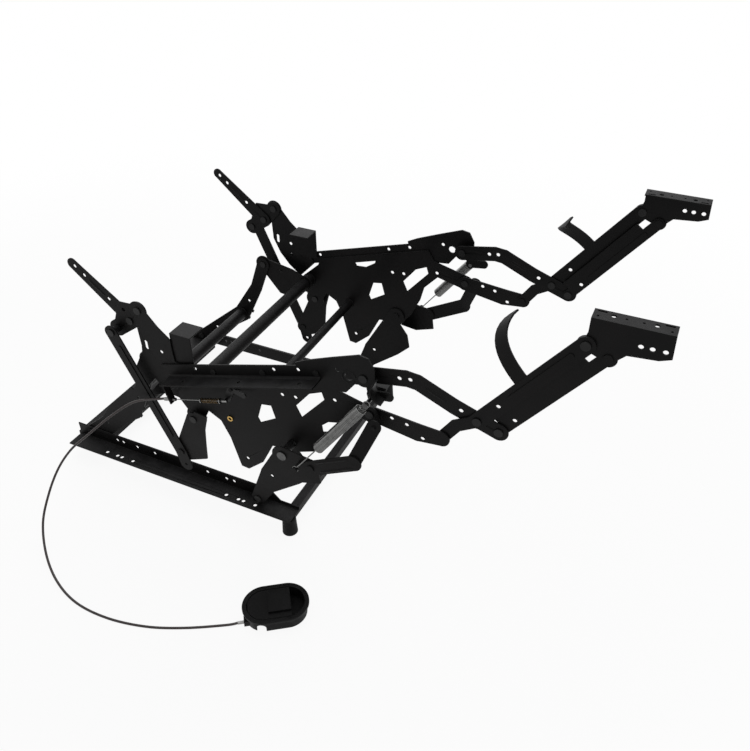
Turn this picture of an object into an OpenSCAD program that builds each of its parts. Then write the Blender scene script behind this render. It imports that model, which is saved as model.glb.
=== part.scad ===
// Recliner mechanism: two mirrored steel linkages on a floor frame, with springs, cable and release handle.
// Millimetres, +X towards the footrest, +Y towards the left side, +Z up.
// The origin is the middle of the four corner bolt holes, on the underside of the base flanges.

/* [Frame] */
// Distance from the middle of the mechanism to the inner face of a seat rail
seat_half = 259; // [240:1:290]
// Thickness of the pressed steel plates
plate_t = 3; // [2.6:0.1:3.2]
// Free space between two plates that pass each other
layer_gap = 0.6; // [0.5:0.1:0.8]
// Wall thickness of the round tubes
tube_wall = 2; // [1.2:0.1:3]

/* [Rivets] */
// Shank radius of the pivot rivets
rivet_r = 4; // [3:0.1:4.5]
// Radial clearance of a rivet in a hole
rivet_fit = 0.06; // [0.03:0.01:0.1]
// Radius of a rivet head
head_r = 8; // [6:0.1:9]
// Thickness of a rivet head
head_t = 2.2; // [1.6:0.1:2.3]
// Free space under a rivet head
head_gap = 0.3; // [0.2:0.05:0.4]

/* [Base] */
// Distance from the middle to the inner face of a base rail
base_half = 229; // [215:1:240]
// Length of a base rail
base_len = 610; // [590:1:640]
// X of the rear end of the base rails
base_rear_x = -310; // [-330:1:-305]
// Height of the base rail web
base_h = 35; // [33:1:46]
// Width of the base rail flange
base_flange_w = 45; // [42:1:52]
// Spacing of the corner bolt holes along X
bolt_dx = 410; // [390:1:430]
// Distance of the bolt hole line from the web's inner face
bolt_in = 31; // [27:1:34]
// Z of the row of holes in the base rail web
web_hole_z = 20; // [16:1:22]
// Height of the base rail web in front of the front link's pivot
nose_h = 10; // [8:1:14]
// Radius of the bolt and lightening holes
bolt_r = 4; // [3:0.1:5]
// Steps from the corner hole inwards to the other flange holes
bolt_steps = [30, 43, 75]; // [20:1:90]
// Height of the floor feet
foot_h = 40.5; // [36:0.5:45]
// Radius of a floor foot at the floor
foot_r = 17; // [15:0.5:18]
// X of the front feet from the front end of the base rails
foot_x = -10; // [-20:1:-6]
// X of the rear feet, which stand under the rear cross plate, from the rear end of the base rails
rear_foot_x = 17; // [12:1:30]
// Distance of the rear feet from the middle
rear_foot_y = 150; // [120:1:190]
// Width and height of the square front cross tube
front_tube_w = 20; // [16:1:24]
// X of the front cross tube from the front end of the base rails
front_tube_x = -17; // [-26:1:-13]
// Width of the rear cross plate along X
rear_plate_w = 84; // [76:1:90]
// Depth of the rear cross plate's folded lips
rear_lip = 14; // [8:1:20]

/* [Recline pivots] */
// X of the rear link's pivot on the base
rear_low_x = -275; // [-280:1:-270]
// Z of the rear link's pivot on the base
rear_low_z = 20; // [19:1:22]
// X of the rear link's pivot on the seat
rear_top_x = -42; // [-46:1:-38]
// Z of the rear link's pivot on the seat
rear_top_z = 300; // [296:1:304]
// X of the front link's pivot on the base
front_low_x = 212; // [206:1:218]
// Z of the front link's pivot on the base
front_low_z = 22; // [21:1:24]
// X of the drive lever's shaft, where the front link also ends
shaft_x = 315; // [311:1:319]
// Z of the drive lever's shaft
shaft_z = 225; // [221:1:229]
// X of the back bracket's pivot on the seat
back_x = -14; // [-17:1:-11]
// Z of the back bracket's pivot on the seat
back_z = 445; // [442:1:448]
// X of the back link's pivot on the back bracket
knee_x = -81; // [-86:1:-76]
// Z of the back link's pivot on the back bracket
knee_z = 385; // [380:1:390]
// X of the bellcrank's pivot on the seat
crank_x = 86; // [83:1:89]
// Z of the bellcrank's pivot on the seat
crank_z = 214; // [210:1:218]
// X of the open pivot between bellcrank and back link
crank_end_x = 38; // [33:1:43]
// Z of the open pivot between bellcrank and back link
crank_end_z = 108; // [103:1:113]
// X of the far end of the back arm
arm_tip_x = -163; // [-172:1:-155]
// Z of the far end of the back arm
arm_tip_z = 511; // [503:1:519]

/* [Footrest pivots] */
// X of the upper ottoman link's pivot on the seat
upper_x = 474; // [471:1:477]
// Z of the upper ottoman link's pivot on the seat
upper_z = 436; // [433:1:439]
// X of the lower ottoman link's pivot on the seat
lower_x = 484; // [481:1:487]
// Z of the lower ottoman link's pivot on the seat
lower_z = 357; // [354:1:360]
// X of the pivot between upper and outer ottoman link
cross_x = 680; // [675:1:685]
// Z of the pivot between upper and outer ottoman link
cross_z = 404; // [400:1:408]
// X of the open pivot between lower and outer ottoman link
elbow_x = 620; // [615:1:625]
// Z of the open pivot between lower and outer ottoman link
elbow_z = 346; // [342:1:350]
// X of the pivot between upper and inner ottoman link
inner_x = 718; // [714:1:722]
// Z of the pivot between upper and inner ottoman link
inner_z = 391; // [388:1:394]
// X of the footrest bracket's pivot on the outer link
foot_pin_x = 830; // [826:1:834]
// Z of the footrest bracket's pivot on the outer link
foot_pin_z = 602; // [598:1:605]
// X of the open pivot between inner link and footrest bracket
foot_open_x = 864; // [860:1:868]
// Z of the open pivot between inner link and footrest bracket
foot_open_z = 586; // [583:1:589]

/* [Seat rail] */
// X of the rear lower corner of the seat rail
rail_x = 30; // [28:1:32]
// Z of the rear lower corner of the seat rail
rail_z = 300; // [298:1:302]
// Tilt of the seat rail, front end up
rail_tilt = 16.6; // [16:0.1:17.2]
// Length of the seat rail
rail_len = 400; // [390:1:410]
// Height of the seat rail web
rail_h = 30; // [27:1:33]
// Width of the seat rail flange
rail_flange_w = 34; // [30:1:36]
// Radius of the rear seat tube
seat_tube_r = 15; // [12:0.5:16]
// Radius of the front seat tube
stretch_tube_r = 10; // [8:0.5:12]
// Radius of the cross tube between the rear links
link_tube_r = 15; // [12:0.5:16]

/* [Link widths] */
// Width of the rear link
rear_link_w = 46; // [42:1:48]
// Width of the front link in its middle
front_link_w = 54; // [44:1:58]
// Width of the back link
back_link_w = 31; // [26:1:34]
// Width of the bellcrank
crank_w = 34; // [30:1:40]
// Width of the back arm
arm_w = 24; // [22:1:28]
// Width of the upper ottoman link
upper_w = 34; // [30:1:36]
// Width of the lower ottoman link
lower_w = 40; // [36:1:46]
// Width of the outer ottoman link
ottoman_w = 30; // [26:1:31]
// Width of the inner ottoman link at its pivots
inner_w = 22; // [20:1:25]
// Reach of the inner ottoman link behind the outer one, from its middle line
inner_reach = 27; // [25:1:28]
// Width of the stiffening rib pressed into a link
rib_w = 10; // [8:1:12]
// Height of the stiffening rib above its link
rib_h = 1.5; // [1:0.1:1.6]

/* [Footrest bracket] */
// Length of the footrest bracket's top flange
bracket_len = 118; // [110:1:126]
// Width of the footrest bracket's top flange
bracket_flange_w = 28; // [25:1:31]
// Z of the footrest bracket's top face
bracket_top_z = 649; // [646:1:652]
// Width of the flipper strip
flipper_w = 26; // [22:1:28]
// Thickness of the flipper strip
flipper_t = 3; // [2:0.1:3]

/* [Drive] */
// Distance of the drive lever's inner face from the seat rail's inner face
lever_out = 37; // [35:1:39]
// X of the drive lever's outer pin
lever_pin_x = 379; // [376:1:382]
// Z of the drive lever's outer pin
lever_pin_z = 219; // [216:1:222]
// Width of the drive lever
lever_w = 44; // [38:1:46]
// Shaft radius under the drive lever
shaft_r = 6; // [5:0.1:7]
// X of the corner of the bent drive link
bend_x = 470; // [467:1:473]
// Z of the corner of the bent drive link
bend_z = 268; // [264:1:272]
// X of the open pivot between drive link and lower ottoman link
drive_end_x = 502; // [499:1:505]
// Z of the open pivot between drive link and lower ottoman link
drive_end_z = 349; // [346:1:352]
// Width of the bent drive link
drive_link_w = 34; // [29:1:35]

/* [Springs] */
// X of the spring stud on the seat
stud_x = 491; // [488:1:494]
// Z of the spring stud on the seat
stud_z = 402; // [399:1:405]
// Distance of the spring's upper end from the seat rail's inner face
stud_out = 26; // [24:1:28]
// Distance of the spring's lower end from the seat rail's inner face
spring_out = 58; // [56:1:60]
// Mean radius of the drive spring's curls
spring_r = 10; // [8:0.1:10.5]
// Wire radius of the drive spring
spring_wire_r = 1.3; // [0.9:0.1:1.4]
// Curls of one drive spring
spring_curls = 34; // [28:1:34]
// Straight length at the upper end of a drive spring
spring_tail = 8; // [6:1:12]
// Straight length at the lower end of a drive spring
spring_hook = 70; // [60:1:76]
// Mean radius of the latch spring's curls
latch_spring_r = 4.5; // [3.5:0.1:5]
// Wire radius of the latch spring
latch_wire_r = 0.7; // [0.5:0.1:0.8]
// Curls of the latch spring
latch_curls = 8; // [6:1:8]

/* [Cable] */
// Outer radius of the cable
cable_r = 2.5; // [2:0.1:3]
// Radius of the bare wire
wire_r = 0.8; // [0.6:0.1:1]
// Distance of the cable line from the seat rail's inner face
cable_out = 25; // [24:1:27]
// Depth of the cable line under the seat rail flange
cable_drop = 39; // [37:1:42]
// Radius of the crimped ferrules
ferrule_r = 3.6; // [3.4:0.1:4]

/* [Handle] */
// X of the middle of the release handle
handle_x = 372; // [367:1:377]
// Y of the middle of the release handle
handle_y = -454.6; // [-460:0.1:-449]
// Z of the bezel's top face
handle_top_z = -9.5; // [-12:0.5:-6]
// Turn of the handle's long axis from +X
handle_turn = 35; // [32:1:38]
// Length of the handle's bezel
handle_len = 131; // [127:1:135]
// Width of the handle's bezel
handle_w = 88; // [84:1:92]
// Width of the bezel's rim
handle_rim = 9; // [8:1:11]
// Thickness of the bezel
bezel_t = 6; // [5:0.5:7]
// Wall thickness of the handle's tub
tub_wall = 3; // [2:0.5:3.5]
// Distance from the bezel's edge to the tub's side
tub_in = 5; // [4:1:6]
// Running gap around the paddle
paddle_gap = 1; // [0.6:0.1:1.4]
// Height of the paddle's raised pad above the bezel
pad_h = 4; // [3:0.5:6]
// Radius of the paddle's hinge pin
hinge_r = 1.2; // [0.8:0.1:1.3]

/* [Hidden] */
$fn = 48;

LEFT = 1;
RIGHT = -1;

// Pivots as points of the X-Z plane
rear_low = [rear_low_x, rear_low_z];
rear_top = [rear_top_x, rear_top_z];
front_low = [front_low_x, front_low_z];
shaft = [shaft_x, shaft_z];
back_pin = [back_x, back_z];
knee = [knee_x, knee_z];
crank_pin = [crank_x, crank_z];
crank_end = [crank_end_x, crank_end_z];
arm_tip = [arm_tip_x, arm_tip_z];
upper_pin = [upper_x, upper_z];
lower_pin = [lower_x, lower_z];
cross_pin = [cross_x, cross_z];
elbow = [elbow_x, elbow_z];
inner_pin = [inner_x, inner_z];
foot_pin = [foot_pin_x, foot_pin_z];
foot_open = [foot_open_x, foot_open_z];
lever_pin = [lever_pin_x, lever_pin_z];
bend = [bend_x, bend_z];
drive_end = [drive_end_x, drive_end_z];
stud = [stud_x, stud_z];
hook = shaft + [40, -3];
rail_corner = [rail_x, rail_z];

// Inner faces of the plate layers on the left side, from the seat rail inwards
layer = plate_t + layer_gap;
hanger_y = seat_half - plate_t;
swing_y = hanger_y - layer;
outer_y = swing_y - layer;
upper_y = outer_y - layer;
inner_y = upper_y - layer;
box_y = hanger_y - plate_t;
arm_y = swing_y - plate_t;

// Inner faces of the layers on and beside the base rail
rear_link_y = base_half - layer;
inner_hanger_y = rear_link_y + layer;
base_out_y = base_half + plate_t;

// Inner faces of the layers outside the seat rail
rail_out_y = seat_half + plate_t;
crank_y = rail_out_y + 6;
back_link_y = crank_y + layer;
lever_y = seat_half + lever_out;
drive_y = lever_y + layer;
drive_top_y = rail_out_y + 16;
flange_y = rail_out_y + rail_flange_w / 2;

// The straight edges of a link start this far inside its round ends
seam = 0.2;

hole_r = rivet_r + rivet_fit;
bolt_y = base_half + bolt_in;
base_front_x = base_rear_x + base_len;
rear_plate_x = base_rear_x - 10;
foot_in = 30;
rear_tube = [-124, 134];
waist = [-70, 226];
seat_tube = [74, 270];
stretch_tube = [186, 228];
arm_root = [-43, 412];
crank_tip = [46, 74];
rail_dir = [cos(rail_tilt), sin(rail_tilt)];
rail_up = [-sin(rail_tilt), cos(rail_tilt)];
upper_bends = [[549, 450], [570, 448], [637, 419]];
tail_bend = between(elbow, cross_pin, 0.5) + [-6, 7];
lower_bend = [575, 345];

// Point of the X-Z plane at distance u along the seat rail and v above its lower corner
function on_rail(u, v) = rail_corner + u * rail_dir + v * rail_up;

// Point of space on the right side from a point along the seat rail
function cable_at(u, v) = [on_rail(u, v)[0], -(seat_half + cable_out), on_rail(u, v)[1]];

// Unit vector along a vector
function unit(v) = v / norm(v);

// Point at part f of the way from p to q
function between(p, q, f) = p + f * (q - p);

// Shapes in the X-Z plane
module disc(p, r) {
    translate(p) circle(r);
}

module taper(p, q, wp, wq) {
    side = [-(q - p)[1], (q - p)[0]] / norm(q - p);
    p_half = wp / 2 - seam;
    q_half = wq / 2 - seam;
    disc(p, wp / 2);
    disc(q, wq / 2);
    polygon([p - p_half * side, q - q_half * side, q + q_half * side, p + p_half * side]);
}

module bar(p, q, w) {
    taper(p, q, w, w);
}

module path(points, w) {
    for (i = [0 : len(points) - 2]) bar(points[i], points[i + 1], w);
}

module holes(points, r) {
    for (p = points) disc(p, r);
}

// Plate of the X-Z plane from its inner face y outwards
module plate(y, t) {
    translate([0, y + t, 0]) rotate([90, 0, 0]) linear_extrude(t) children();
}

// Round pin along Y
module pin(p, y0, y1, r) {
    translate([p[0], y1, p[1]]) rotate([90, 0, 0]) cylinder(h = y1 - y0, r = r);
}

// Rivet that holds the faces y0 and y1 together
module rivet(p, y0, y1) {
    pin(p, y0 - head_gap, y1 + head_gap, rivet_r);
    pin(p, y0 - head_gap - head_t, y0 - head_gap, head_r);
    pin(p, y1 + head_gap, y1 + head_gap + head_t, head_r);
}

// Rivet with a spacer between two plates that lie far apart
module spaced_rivet(p, y0, gap0, gap1, y1) {
    rivet(p, y0, y1);
    pin(p, gap0, gap1, head_r);
}

// Tube along Y across the whole mechanism
module cross_tube(p, half, r) {
    difference() {
        pin(p, -half, half, r);
        pin(p, -half - 1, half + 1, r - tube_wall);
    }
}

// A piece drawn on the left side, or its mirror image on the right
module on_side(side) {
    if (side == LEFT) children();
    else mirror([0, 1, 0]) children();
}

module both_sides() {
    on_side(LEFT) children();
    on_side(RIGHT) children();
}

// Normals carried along a path without turning about it
function carry(tangents, n, i, done) =
    i == len(tangents) ? done :
    let (m = unit(n - (n * tangents[i]) * tangents[i]))
    carry(tangents, m, i + 1, concat(done, [m]));

function tangents(p) =
    let (last = len(p) - 1)
    [for (i = [0 : last]) unit(p[min(i + 1, last)] - p[max(i - 1, 0)])];

// Unbroken round tube along points, made of triangles
module tube(points, r, sides) {
    t = tangents(points);
    n = carry(t, abs(t[0][2]) < 0.9 ? [0, 0, 1] : [1, 0, 0], 0, []);
    rings = [for (i = [0 : len(points) - 1], k = [0 : sides - 1])
        let (a = 360 * k / sides, b = cross(t[i], n[i]))
        points[i] + r * (cos(a) * n[i] + sin(a) * b)];
    last = (len(points) - 1) * sides;
    skin = [for (i = [0 : len(points) - 2], k = [0 : sides - 1])
        let (a = i * sides + k, b = i * sides + (k + 1) % sides)
        each [[a, a + sides, b], [b, a + sides, b + sides]]];
    start = [for (k = [1 : sides - 2]) [0, k, k + 1]];
    stop = [for (k = [1 : sides - 2]) [last, last + k + 1, last + k]];
    polyhedron(points = rings, faces = concat(skin, start, stop));
}

// Centre line of a coil spring between two points, with straight tails at radius end_r
function coil(p, q, r, end_r, curls, tail, far_tail) =
    let (axis = unit(q - p),
        u = unit(cross(axis, [0, 1, 0])),
        v = cross(axis, u),
        body = norm(q - p) - tail - far_tail,
        count = 8 * curls)
    concat([p + end_r * u, p + tail / 2 * axis + end_r * u],
        [for (i = [0 : count])
            let (a = 45 * i, now_r = end_r + (r - end_r) * min(1, i / 8, (count - i) / 8))
            p + (tail + body * i / count) * axis + now_r * (cos(a) * u + sin(a) * v)],
        [q - far_tail / 2 * axis + end_r * u, q + end_r * u]);

// Least gap between a coil's neighbouring curls
function coil_gap(p, r) =
    min([for (i = [0 : len(p) - 1], k = [6 : 10]) if (i + k < len(p)) norm(p[i + k] - p[i])]) - 2 * r;

// Smooth curve through points, with steps points to each stretch
function smooth(p, steps) =
    let (last = len(p) - 1)
    concat([for (i = [0 : last - 1], k = [0 : steps - 1])
        let (f = k / steps, a = p[max(i - 1, 0)], b = p[i], c = p[i + 1], d = p[min(i + 2, last)])
        0.5 * (2 * b + f * (c - a) + f * f * (2 * a - 5 * b + 4 * c - d)
            + f * f * f * (3 * b - a - 3 * c + d))], [p[last]]);

// Base
module base_rail(side) {
    nose_x = front_low_x + 16;
    color("#2b2b2d") on_side(side) difference() {
        union() {
            plate(base_half, plate_t) polygon([[base_rear_x, 0], [base_front_x, 0], [base_front_x, nose_h],
                [nose_x + base_h - nose_h, nose_h], [nose_x, base_h], [base_rear_x, base_h]]);
            translate([base_rear_x, base_half, 0]) cube([base_len, base_flange_w, plate_t]);
        }
        for (end = [-1, 1], step = concat([0], bolt_steps))
            translate([end * (bolt_dx / 2 - step), bolt_y, -1]) cylinder(h = plate_t + 2, r = bolt_r);
        for (x = [-195, -177, -136, -85, 63, 114, 134])
            pin([x, web_hole_z], base_half - 1, base_out_y + 1, bolt_r);
        for (p = [rear_low, front_low]) pin(p, base_half - 1, base_out_y + 1, hole_r);
    }
}

module front_cross_tube() {
    half = base_half + foot_in - foot_r - 1;
    bore = front_tube_w - 2 * tube_wall;
    color("#2b2b2d") translate([base_front_x + front_tube_x, 0, -front_tube_w / 2]) difference() {
        cube([front_tube_w, 2 * half, front_tube_w], center = true);
        cube([bore, 2 * half + 2, bore], center = true);
    }
}

module rear_cross_plate() {
    color("#2b2b2d") {
        translate([rear_plate_x, -base_half, 0]) cube([rear_plate_w, 2 * base_half, plate_t]);
        for (x = [rear_plate_x, rear_plate_x + rear_plate_w - plate_t])
            translate([x, -base_half, -rear_lip]) cube([plate_t, 2 * base_half, rear_lip + plate_t]);
    }
}

module floor_feet() {
    color("#1d1d1e") both_sides() for (p = [[base_front_x + foot_x, base_half + foot_in],
        [base_rear_x + rear_foot_x, rear_foot_y]])
        translate([p[0], p[1], -foot_h]) cylinder(h = foot_h, r1 = foot_r, r2 = foot_r - 2);
}

module base_rivets() {
    color("#3a3a3c") both_sides() {
        rivet(rear_low, rear_link_y, base_out_y);
        spaced_rivet(front_low, base_half, base_out_y, swing_y - head_gap, swing_y + plate_t);
    }
}

// Rear and front links between base and seat
module rear_link(side) {
    tooth = 8;
    color("#2b2b2d") on_side(side) plate(rear_link_y, plate_t) difference() {
        union() {
            taper(rear_low, rear_tube, rear_link_w - 16, rear_link_w);
            taper(rear_tube, waist, rear_link_w, rear_link_w - 14);
            taper(waist, rear_top, rear_link_w - 14, rear_link_w - 12);
            for (at = [[-110, 124], [-96, 148]]) translate(at) rotate(-30) square(tooth);
            if (side == RIGHT)
                polygon([[-262, 28], [-232, 10], [-126, 112], [-96, 186], [-113, 204], [-192, 126]]);
        }
        holes([rear_low, rear_top], hole_r);
        disc(between(rear_low, rear_tube, 0.4), bolt_r);
        disc(between(rear_tube, waist, 0.5), bolt_r);
    }
}

module rear_cross_tube() {
    color("#2b2b2d") cross_tube(rear_tube, rear_link_y, link_tube_r);
}

module front_link(side) {
    low_w = 2 * (front_low_z - plate_t - 3);
    middle = between(front_low, shaft, 0.42);
    color("#2b2b2d") on_side(side) {
        plate(swing_y, plate_t) difference() {
            union() {
                taper(front_low, middle, low_w, front_link_w);
                taper(middle, shaft, front_link_w, front_link_w - 12);
                polygon([[236, 44], [322, 112], [352, 142], [346, 176], [318, 214], [262, 150], [222, 60]]);
            }
            disc(front_low, hole_r);
            disc(middle, bolt_r);
        }
        pin(shaft, swing_y - head_t, swing_y + plate_t / 2, head_r);
    }
}

// Seat
module seat_rail(side) {
    front_hole = [446, 432];
    web_v = 0.7 * rail_h;
    flange_rear = 8;
    flange_front = 24;
    tab_r = 24;
    tab_mid = upper_pin + [44, -8];
    lug = [upper_pin + [16, -30], upper_pin + [48, -25]];
    color("#2b2b2d") on_side(side) difference() {
        union() {
            plate(seat_half, plate_t) {
                translate(rail_corner) rotate(rail_tilt) square([rail_len, rail_h]);
                polygon([[345, 400], [400, 390], [440, 395], upper_pin + [-16, -17], upper_pin + [9, -12],
                    upper_pin + [23, -8], upper_pin + [22, 24], upper_pin + [10, 45], upper_pin + [-8, 48],
                    [412, 463], [361, 442], [338, 430]]);
                disc(upper_pin, 18);
                bar(upper_pin + [12, -6], stud, 16);
                bar(lug[0], lug[1], 19);
            }
            plate(seat_half, plate_t + rail_flange_w)
                translate(rail_corner) rotate(rail_tilt) translate([flange_rear, 0])
                    square([rail_len - flange_rear - flange_front, plate_t]);
            plate(seat_half, plate_t + 20) intersection() {
                difference() {
                    disc(tab_mid, tab_r);
                    disc(tab_mid, tab_r - plate_t);
                }
                polygon([tab_mid, tab_mid + [-3, -2 * tab_r], tab_mid + [-2 * tab_r, -tab_r],
                    tab_mid + [-2 * tab_r, 34]]);
            }
        }
        pin(upper_pin, seat_half - 1, rail_out_y + 1, hole_r);
        pin(stud, seat_half - 1, rail_out_y + 1, hole_r);
        pin(front_hole, seat_half - 1, rail_out_y + 1, 2 * bolt_r);
        for (p = [[424, 440], on_rail(86, web_v), on_rail(278, web_v), on_rail(333, web_v)])
            pin(p, seat_half - 1, rail_out_y + 1, bolt_r);
        for (u = [60, 200, 340]) {
            hole = on_rail(u, 0);
            translate([hole[0], flange_y, hole[1]]) rotate([0, -rail_tilt, 0])
                translate([0, 0, -1]) cylinder(h = plate_t + 2, r = bolt_r);
        }
    }
}

module side_plate(side) {
    color("#2b2b2d") on_side(side) plate(hanger_y, plate_t) difference() {
        union() {
            polygon([[101, 317], [56, 276], [46, 255], crank_pin + [-16, 6], crank_pin + [14, -12],
                [120, 240], [148, 224], [166, 184], [184, 112], [202, 110], [240, 144], [268, 200],
                [330, 208], [352, 236], [375, 284], [384, 320], [424, 364], on_rail(380, 12),
                on_rail(84, 12)]);
            disc(crank_pin, 24);
            disc(shaft, 24);
            bar([400, 378], lower_pin, 36);
            if (side == RIGHT)
                polygon([[330, 207], [364, 221], [430, 299], [457, 337], [402, 376], [352, 330]]);
        }
        polygon([[386, 279], [405, 286], [421, 315], [399, 309], [384, 295]]);
        polygon([[245, 253], [240, 264], [252, 302], [274, 306], [282, 276]]);
        polygon([[330, 324], [341, 300], [393, 360], [388, 376], [362, 364]]);
        polygon([[203, 346], [258, 363], [256, 356], [232, 340], [208, 338]]);
        holes([[331, 345], [202, 140], [302, 342], [414, 366]], bolt_r);
        holes([crank_pin, lower_pin], hole_r);
        disc(shaft, shaft_r + rivet_fit);
    }
}

module rear_upright(side) {
    slot_mid = [-10, 366];
    color("#2b2b2d") on_side(side) plate(hanger_y, plate_t) difference() {
        union() {
            polygon([[-25, 418], [-23, 364], [-6, 328], [18, 299], [48, 274], [90, 318], [82, 334],
                [56, 344], [54, 372], [54, 395], [28, 418], back_pin + [15, 6], back_pin + [4, 12],
                back_pin + [-12, 2]]);
            disc(back_pin, 20);
            if (side == RIGHT) polygon([[-50, 302], [-46, 262], [-36, 228], [16, 252], [56, 286],
                [30, 340], [-20, 380], [-25, 347]]);
        }
        bar(slot_mid - [0, 7], slot_mid + [0, 7], 8);
        polygon([[-30, 254], [-26, 242], [2, 275], [-5, 284]]);
        holes([[26, 359], [27, 329], [54, 335]], bolt_r);
        disc(back_pin, hole_r);
    }
}

module box_brackets() {
    low = [52, 334];
    size = [48, 76];
    fold = 42;
    lap = 12;
    top = low + size;
    color("#b9b9b8") both_sides() {
        plate(box_y, plate_t) polygon([low - [lap, 0], [top[0], low[1]], top, [low[0], top[1]],
            [low[0], top[1] - 18], [low[0] - lap, top[1] - 30]]);
        translate([low[0], box_y - fold, top[1] - plate_t]) cube([size[0], fold + plate_t, plate_t]);
    }
}

module inner_hanger(side) {
    boss = 22;
    color("#2b2b2d") on_side(side) plate(inner_hanger_y, plate_t) difference() {
        union() {
            polygon([rear_top + [-8, -14], [0, 226], [30, 222], seat_tube + [4, 3 - boss],
                seat_tube + [2, boss - 3], [42, 303], rear_top + [4, 17]]);
            disc(rear_top, boss);
            disc(seat_tube, boss);
        }
        disc(seat_tube, seat_tube_r + rivet_fit);
        disc(rear_top, hole_r);
        disc([8, 292], bolt_r);
    }
}

module seat_cross_tube() {
    color("#2b2b2d") cross_tube(seat_tube, hanger_y, seat_tube_r);
}

module front_seat_tube() {
    color("#2b2b2d") cross_tube(stretch_tube, hanger_y, stretch_tube_r);
}

module seat_rivets() {
    color("#3a3a3c") both_sides() {
        rivet(rear_top, rear_link_y, inner_hanger_y + plate_t);
        rivet(back_pin, swing_y, hanger_y + plate_t);
        rivet(lower_pin, swing_y, hanger_y + plate_t);
        spaced_rivet(upper_pin, upper_y, upper_y + plate_t + head_gap, seat_half, rail_out_y);
        spaced_rivet(crank_pin, hanger_y, hanger_y + plate_t, crank_y - head_gap, crank_y + plate_t);
        for (u = [130, 250, 370]) pin(on_rail(u, 14), rail_out_y, rail_out_y + head_t, head_r - 2);
    }
}

// Lever shafts and the studs that the drive springs hook on
module seat_studs() {
    color("#6f7072") both_sides() {
        pin(shaft, hanger_y, lever_y + plate_t + head_gap, shaft_r);
        pin(shaft, seat_half, lever_y - head_gap, shaft_r + 3);
        pin(shaft, lever_y + plate_t + head_gap, lever_y + plate_t + head_gap + head_t, shaft_r + 4);
        pin(stud, seat_half, seat_half + stud_out + 8, rivet_r);
        pin(stud, rail_out_y, rail_out_y + head_t, head_r);
        pin(stud, seat_half + stud_out + 5, seat_half + stud_out + 5 + head_t, head_r - 2);
    }
}

// Springs
spring_top = [stud[0], seat_half + stud_out, stud[1]];
spring_low = [hook[0], seat_half + spring_out, hook[1]];
spring_axis = unit(spring_low - spring_top);
spring_clear = rivet_r + 0.35;
spring_line = coil(spring_top + spring_clear * spring_axis, spring_low - spring_clear * spring_axis,
    spring_r, 0, spring_curls, spring_tail, spring_hook);
latch_spring_u = [92, 138];
latch_line = coil(cable_at(latch_spring_u[0], -cable_drop), cable_at(latch_spring_u[1], -cable_drop),
    latch_spring_r, latch_spring_r, latch_curls, 3, 3);

module drive_spring(side) {
    color("#c9c9c6") on_side(side) tube(spring_line, spring_wire_r, 6);
}

module latch_spring() {
    color("#b08d3c") tube(latch_line, latch_wire_r, 6);
}

echo(drive_spring_gap = coil_gap(spring_line, spring_wire_r));  // drive_spring_left
echo(latch_spring_gap = coil_gap(latch_line, latch_wire_r));  // latch_spring

// Cable: the line runs under the right seat rail, then down to the floor and round to the handle
clamp_u = 10;
ferrule_len = 30;
ferrule_rear_u = clamp_u - 18;
wire_end_u = 150;
latch_pin = [168, -18];
outlet_u = -64;
outlet_v = -14;
outlet_z = -36;
outlet_len = 12;

// Point of space from a place along and across the handle
function on_handle(u, v, z) =
    [handle_x + u * cos(handle_turn) - v * sin(handle_turn),
    handle_y + u * sin(handle_turn) + v * cos(handle_turn), z];

cable_start = cable_at(ferrule_rear_u - 0.3, -cable_drop);
cable_stop = on_handle(outlet_u - outlet_len - 0.3, outlet_v, outlet_z);
cable_route = concat([cable_start, cable_at(ferrule_rear_u - 12, -cable_drop)],
    [[-45, -292, 232], [-90, -320, 200], [-135, -360, 158], [-170, -382, 122], [-195, -408, 78],
    [-200, -446, 34], [-178, -496, 4], [-130, -545, -20], [-70, -582, -34], [0, -604, -38], [80, -606, -38],
    [160, -590, -38], [230, -561, -38]],
    [on_handle(outlet_u - outlet_len - 24, outlet_v, outlet_z - 1), cable_stop]);

module release_cable() {
    color("#2a1a18") tube(smooth(cable_route, 4), cable_r, 10);
}

// Cylinder along the seat rail on the cable line
module cable_rod(u0, u1, r) {
    translate(cable_at(u0, -cable_drop)) rotate([0, 90 - rail_tilt, 0]) cylinder(h = u1 - u0, r = r);
}

// Plate drawn in rail sizes on the right side
module rail_plate(y, t) {
    mirror([0, 1, 0]) plate(y, t) translate(rail_corner) rotate(rail_tilt) children();
}

module cable_brackets() {
    tab_w = 16;
    below = 7;
    color("#2b2b2d") {
        difference() {
            rail_plate(seat_half + cable_out - tab_w / 2, tab_w)
                translate([clamp_u, -cable_drop - below]) square([plate_t, cable_drop + below]);
            cable_rod(clamp_u - 5, clamp_u + 10, ferrule_r + rivet_fit);
        }
        rail_plate(crank_y, plate_t) difference() {
            translate([latch_pin[0] - 14, -32]) square([28, 32]);
            disc(latch_pin, hole_r);
        }
        rail_plate(crank_y - head_t, 2 * (plate_t + head_t) + layer_gap + head_gap)
            disc(latch_pin, rivet_r);
        rail_plate(crank_y - head_t, head_t) disc(latch_pin, head_r);
    }
}

module cable_ferrules() {
    color("#a9aaac") {
        cable_rod(ferrule_rear_u, ferrule_rear_u + ferrule_len, ferrule_r);
        translate(on_handle(outlet_u - outlet_len, outlet_v, outlet_z))
            rotate([0, 90, handle_turn]) cylinder(h = outlet_len + 6, r = ferrule_r - 0.4);
    }
}

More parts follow.
